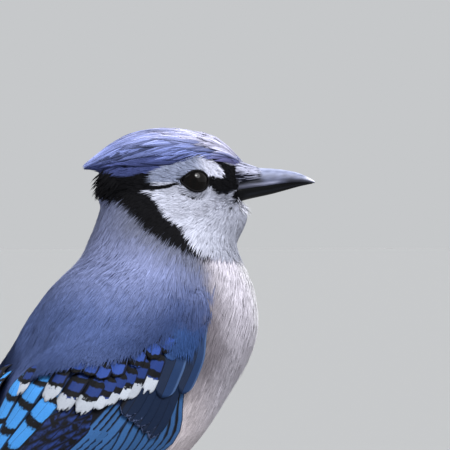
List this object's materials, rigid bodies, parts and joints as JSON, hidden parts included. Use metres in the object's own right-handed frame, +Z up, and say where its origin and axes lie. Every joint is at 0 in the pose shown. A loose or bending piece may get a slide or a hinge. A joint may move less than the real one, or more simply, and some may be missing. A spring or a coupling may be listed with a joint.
{
  "type": "blue jay model",
  "caption": "Still life-size blue jay with raised head turned to its right, folded barred wings and long tail, gripping a short cut perch held by a plain display stand.",
  "frame": {"origin": "centre of the stand base's flat underside", "axes": "+Z up, +X the way the bird's breast faces, +Y to the bird's left along the perch"},
  "size_m": [0.1733, 0.12, 0.2585],
  "materials": {
    "body_feathers": "soft matt blue-grey back and pale grey-white breast and belly feathers",
    "head_feathers": "fine matt white, black and blue-grey face feathers",
    "crest_feathers": "matt lavender-blue crest feathers with paler shafts",
    "wing_feathers": "satin cobalt blue flight feathers, barred black, tipped white",
    "tail_feathers": "satin blue tail feathers, barred black, outer ones tipped white",
    "bill": "dark slate horn with a soft sheen",
    "eye": "very dark brown, wet and glossy",
    "leg_scales": "dark grey scaled skin",
    "claw": "black horn",
    "bark": "rough grey-brown bark with pale cut ends",
    "stand_wood": "dark oiled hardwood, satin",
    "rod_steel": "brushed steel rod"
  },
  "bodies": {
    "root": {"torso": "body_feathers", "neck": "body_feathers", "head": "head_feathers", "crest": "crest_feathers", "bill_upper": "bill", "bill_lower": "bill", "eye_right": "eye", "eye_left": "eye", "wing_right": "wing_feathers", "wing_left": "wing_feathers", "tail": "tail_feathers", "thigh_right": "body_feathers", "thigh_left": "body_feathers", "tarsus_right": "leg_scales", "tarsus_left": "leg_scales", "foot_right": "leg_scales", "foot_left": "leg_scales", "claw_inner_right": "claw", "claw_middle_right": "claw", "claw_outer_right": "claw", "claw_hind_right": "claw", "claw_inner_left": "claw", "claw_middle_left": "claw", "claw_outer_left": "claw", "claw_hind_left": "claw", "perch": "bark", "stand_base": "stand_wood", "stand_rod_1": "rod_steel", "stand_rod_2": "rod_steel"}
  },
  "joints": []
}
